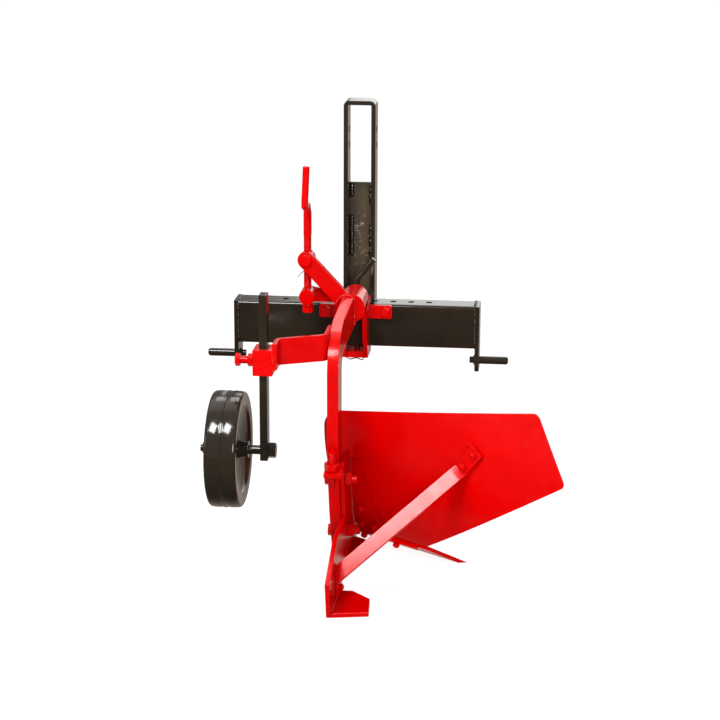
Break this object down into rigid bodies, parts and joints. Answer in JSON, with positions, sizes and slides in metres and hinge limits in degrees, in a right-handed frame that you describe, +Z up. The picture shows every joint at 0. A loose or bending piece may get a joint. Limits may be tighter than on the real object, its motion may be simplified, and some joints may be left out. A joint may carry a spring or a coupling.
{
  "type": "single furrow plough",
  "caption": "Tractor-mounted mouldboard plough with a goose-neck beam, levelling screw, depth wheel and a headstock that couples to a tractor's rear linkage.",
  "frame": {"origin": "middle of the axis through both lower link pins", "axes": "+X to the right of travel, +Y the way the plough is pulled, +Z up"},
  "size_m": [1.0078, 0.845, 1.21],
  "materials": {
    "red_paint": "gloss",
    "black_paint": "gloss",
    "mast_paint": "satin",
    "bare_steel": "plain wire"
  },
  "bodies": {
    "headstock": {"crossbar_tube": "black_paint", "end_plate_left": "black_paint", "end_plate_right": "black_paint", "lower_link_pin_left": "black_paint", "lower_link_pin_right": "black_paint", "mast_strap": "black_paint", "mast_plate": "mast_paint", "bracket_cheek_left": "red_paint", "bracket_cheek_right": "red_paint", "bracket_ear_left": "red_paint", "bracket_ear_right": "red_paint", "ear_bolts": "red_paint", "bracket_top_tab": "red_paint", "bracket_base_plate": "red_paint", "pivot_sleeve": "red_paint", "screw_plate": "red_paint"},
    "locating_pin": {"locating_pin": "black_paint", "pin_clip": "bare_steel"},
    "beam": {"pivot_shaft": "red_paint", "pivot_washer": "red_paint", "pivot_nut": "red_paint", "beam": "red_paint", "tilt_arm": "red_paint", "wheel_arm": "red_paint", "clamp_box": "red_paint", "clamp_jam_nut": "red_paint", "leg_bolts": "red_paint", "leg_nuts": "red_paint", "pitch_stud": "red_paint", "stud_blocks": "red_paint"},
    "lower_trunnion": {"lower_trunnion": "red_paint", "trunnion_nut": "red_paint"},
    "upper_trunnion": {"upper_trunnion": "red_paint", "trunnion_cap": "red_paint"},
    "screw": {"screw_rod": "red_paint", "screw_cap_nut": "red_paint", "split_pin": "bare_steel", "crank_handle": "red_paint"},
    "clamp_bolt": {"clamp_bolt": "red_paint"},
    "shank": {"wheel_shank": "black_paint", "wheel_axle": "black_paint", "axle_nuts": "black_paint", "axle_washers": "black_paint"},
    "wheel": {"wheel_half_left": "black_paint", "wheel_half_right": "black_paint", "wheel_hub": "black_paint"},
    "plough_body": {"landside": "red_paint", "heel_plate": "red_paint", "frog_sole": "red_paint", "frog_saddle": "red_paint", "mouldboard": "red_paint", "mouldboard_bolts": "red_paint", "share": "red_paint", "share_seat": "red_paint", "share_bolts": "red_paint", "brace": "red_paint", "brace_bolts": "red_paint", "pitch_lug": "red_paint"},
    "pitch_nuts": {"pitch_nuts": "red_paint"}
  },
  "joints": [
    {"name": "locating_pin_turn", "type": "hinge", "parent": "headstock", "child": "locating_pin", "pos_m": [0, 0, 0.17], "axis": [0, 0, 1], "range_deg": [-180, 30]},
    {"name": "beam_tilt", "type": "hinge", "parent": "headstock", "child": "beam", "pos_m": [0, -0.1065, 0.182], "axis": [0, 1, 0], "range_deg": [-5, 5]},
    {"name": "lower_trunnion_turn", "type": "hinge", "parent": "headstock", "child": "lower_trunnion", "pos_m": [-0.12, -0.146, 0.205], "axis": [0, 1, 0], "range_deg": [-6.2, 6.2]},
    {"name": "screw_turn", "type": "hinge", "parent": "lower_trunnion", "child": "screw", "pos_m": [-0.12, -0.146, 0.205], "axis": [0, 0, 1], "range_deg": [-945, 945]},
    {"name": "upper_trunnion_turn", "type": "hinge", "parent": "beam", "child": "upper_trunnion", "pos_m": [-0.12, -0.146, 0.31], "axis": [0, 1, 0], "range_deg": [-1.2, 1.2]},
    {"name": "clamp_bolt_turn", "type": "hinge", "parent": "beam", "child": "clamp_bolt", "pos_m": [-0.2133, -0.49148, 0.113], "axis": [-1, 0, 0], "range_deg": [0, 180]},
    {"name": "shank_slide", "type": "slide", "parent": "beam", "child": "shank", "axis": [0, 0, 1], "range_m": [-0.12, 0.055]},
    {"name": "wheel_roll", "type": "hinge", "parent": "shank", "child": "wheel", "pos_m": [-0.283, -0.49148, -0.128], "axis": [1, 0, 0], "continuous": true},
    {"name": "body_pitch", "type": "hinge", "parent": "beam", "child": "plough_body", "pos_m": [0, -0.30203, -0.408], "axis": [1, 0, 0], "range_deg": [-1.5, 1.5]},
    {"name": "pitch_nut_travel", "type": "slide", "parent": "beam", "child": "pitch_nuts", "axis": [0, -0.1788, 0.9839], "range_m": [-0.0028, 0.0028]}
  ],
  "couplings": [
    {"joint": "lower_trunnion_turn", "follows": "beam_tilt", "ratio": 1.219},
    {"joint": "upper_trunnion_turn", "follows": "beam_tilt", "ratio": 0.21905},
    {"joint": "screw_turn", "follows": "beam_tilt", "ratio": -188.5},
    {"joint": "pitch_nut_travel", "follows": "body_pitch", "m_per_rad": -0.10195}
  ]
}
